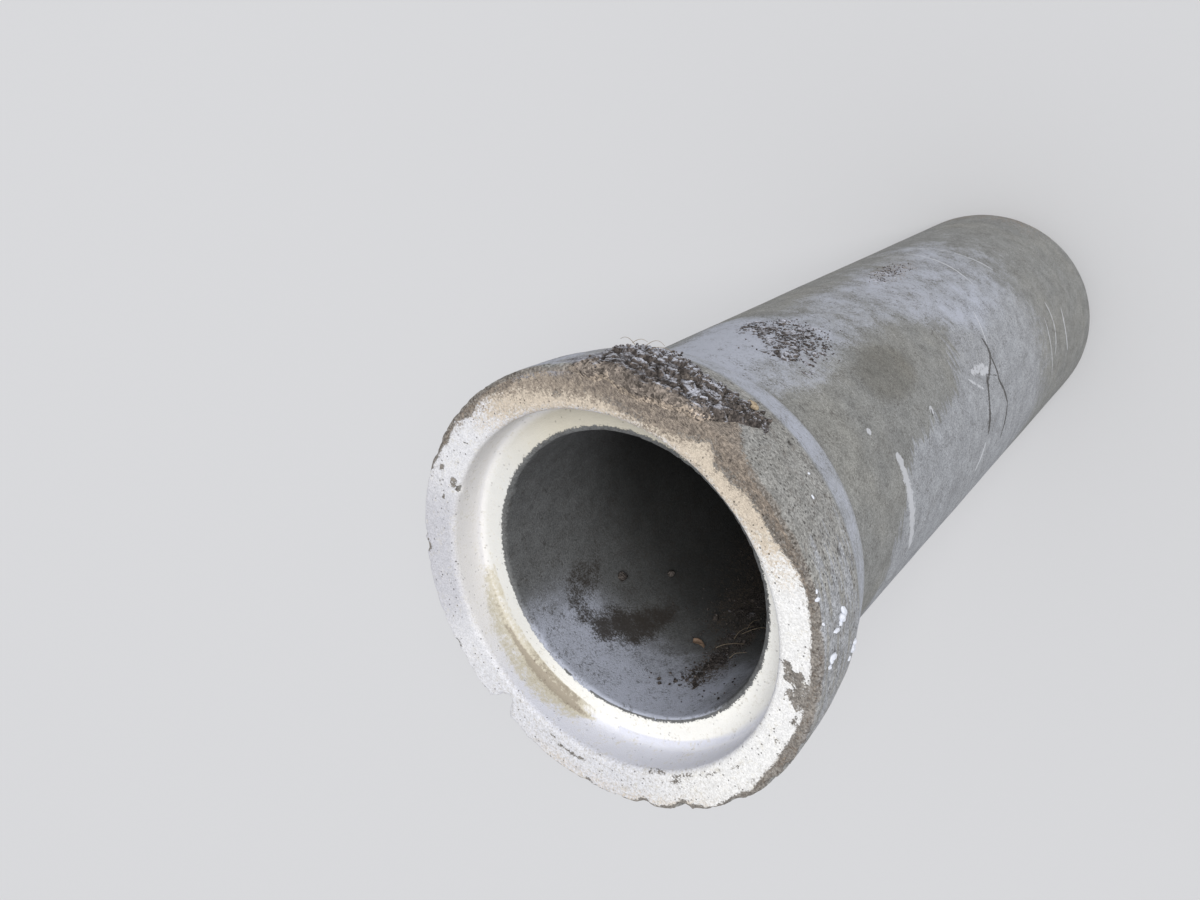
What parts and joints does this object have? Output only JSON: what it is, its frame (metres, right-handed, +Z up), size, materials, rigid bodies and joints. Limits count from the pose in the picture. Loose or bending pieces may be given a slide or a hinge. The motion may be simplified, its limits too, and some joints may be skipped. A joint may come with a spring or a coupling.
{
  "type": "concrete culvert pipe",
  "caption": "Reinforced concrete culvert pipe standing on its spigot end, with a flared bell and recessed socket at the top and a stepped spigot at the foot.",
  "frame": {"origin": "centre of the spigot's nose, on the level floor that the pipe stands on", "axes": "+Z up the pipe's axis from the spigot to the bell; -Y is the side that was uppermost as the pipe lay in the picture"},
  "size_m": [0.9092, 0.9094, 2.521],
  "materials": {
    "concrete": "matte",
    "soil": "matte",
    "frost": "matte",
    "dry_plant": "matte"
  },
  "bodies": {
    "root": {"pipe": "concrete"}
  },
  "joints": []
}
